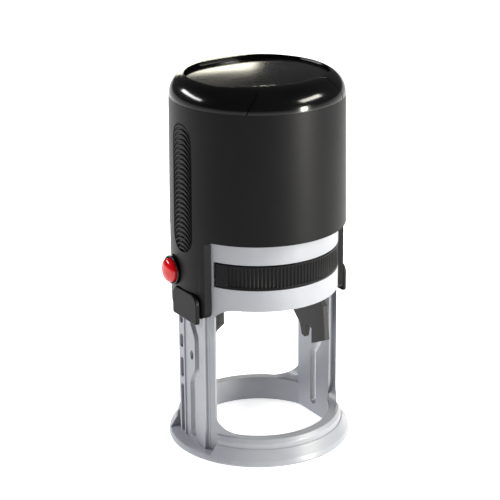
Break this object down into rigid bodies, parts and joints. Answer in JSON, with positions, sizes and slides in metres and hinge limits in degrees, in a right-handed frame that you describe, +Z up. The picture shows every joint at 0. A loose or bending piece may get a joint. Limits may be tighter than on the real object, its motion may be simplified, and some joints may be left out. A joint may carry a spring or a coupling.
{
  "type": "self-inking stamp",
  "caption": "Round self-inking hand stamp: sliding handle on a two-legged base frame, platen that turns over, slide-out ink pad cassette and side release button.",
  "frame": {"origin": "on the stamp's own vertical axis, at the flat underside of the base ring; that is the bottom centre of its box to within 0.8 mm, because only one side has a button", "axes": "+Z up along the handle's travel; -Y is the front, where the pad cassette slides out; -X is the side with the release button"},
  "size_m": [0.0635, 0.062, 0.1269],
  "materials": {
    "grey_abs": "fine satin moulded ABS, cool light grey",
    "black_satin_abs": "satin moulded ABS, black",
    "black_gloss_abs": "polished moulded ABS, black",
    "smoked_acrylic": "polished smoked acrylic",
    "index_card_stock": "matt printed card",
    "black_inner_nylon": "unpolished moulded nylon, black",
    "spring_steel": "drawn wire, bright",
    "ink_felt": "felt soaked with black ink",
    "cushion_foam": "closed-cell foam",
    "die_rubber": "laser-engraved rubber",
    "red_gloss_abs": "polished moulded ABS, red"
  },
  "bodies": {
    "frame": {"base_frame": "grey_abs", "spring_deck": "grey_abs", "return_spring": "spring_steel"},
    "pad": {"pad_cassette": "black_satin_abs", "ink_pad": "ink_felt"},
    "handle": {"handle_shell": "black_satin_abs", "top_cap": "black_gloss_abs", "index_card": "index_card_stock", "drive_yoke": "black_inner_nylon", "left_axle_cover": "black_satin_abs", "right_axle_cover": "black_satin_abs", "left_grip_strip": "black_satin_abs", "right_grip_strip": "black_satin_abs", "button_collar": "black_gloss_abs", "button_spring": "spring_steel"},
    "window": {"index_window": "smoked_acrylic"},
    "platen": {"platen_cradle": "black_inner_nylon", "platen_disc": "black_inner_nylon", "platen_axle": "spring_steel", "foam_cushion": "cushion_foam", "rubber_die": "die_rubber"},
    "button": {"release_button": "red_gloss_abs", "lock_pin": "spring_steel"}
  },
  "joints": [
    {"name": "press", "type": "slide", "parent": "frame", "child": "handle", "axis": [0, 0, -1], "range_m": [0, 0.043], "stiffness_N_per_m": 250, "springref_m": -0.012, "deforming": ["return_spring"]},
    {"name": "platen_flip", "type": "hinge", "parent": "handle", "child": "platen", "pos_m": [0, 0, 0.0508], "axis": [-1, 0, 0], "range_deg": [0, 180]},
    {"name": "pad_slide", "type": "slide", "parent": "frame", "child": "pad", "axis": [0, -1, 0], "range_m": [0, 0.06]},
    {"name": "button_push", "type": "slide", "parent": "handle", "child": "button", "axis": [1, 0, 0], "range_m": [0, 0.0022], "stiffness_N_per_m": 600, "springref_m": -0.001},
    {"name": "window_lift", "type": "slide", "parent": "handle", "child": "window", "axis": [0, 0, 1], "range_m": [0, 0.012]}
  ],
  "couplings": [
    {"joint": "platen_flip", "follows": "press", "rad_per_m": 73.06}
  ]
}
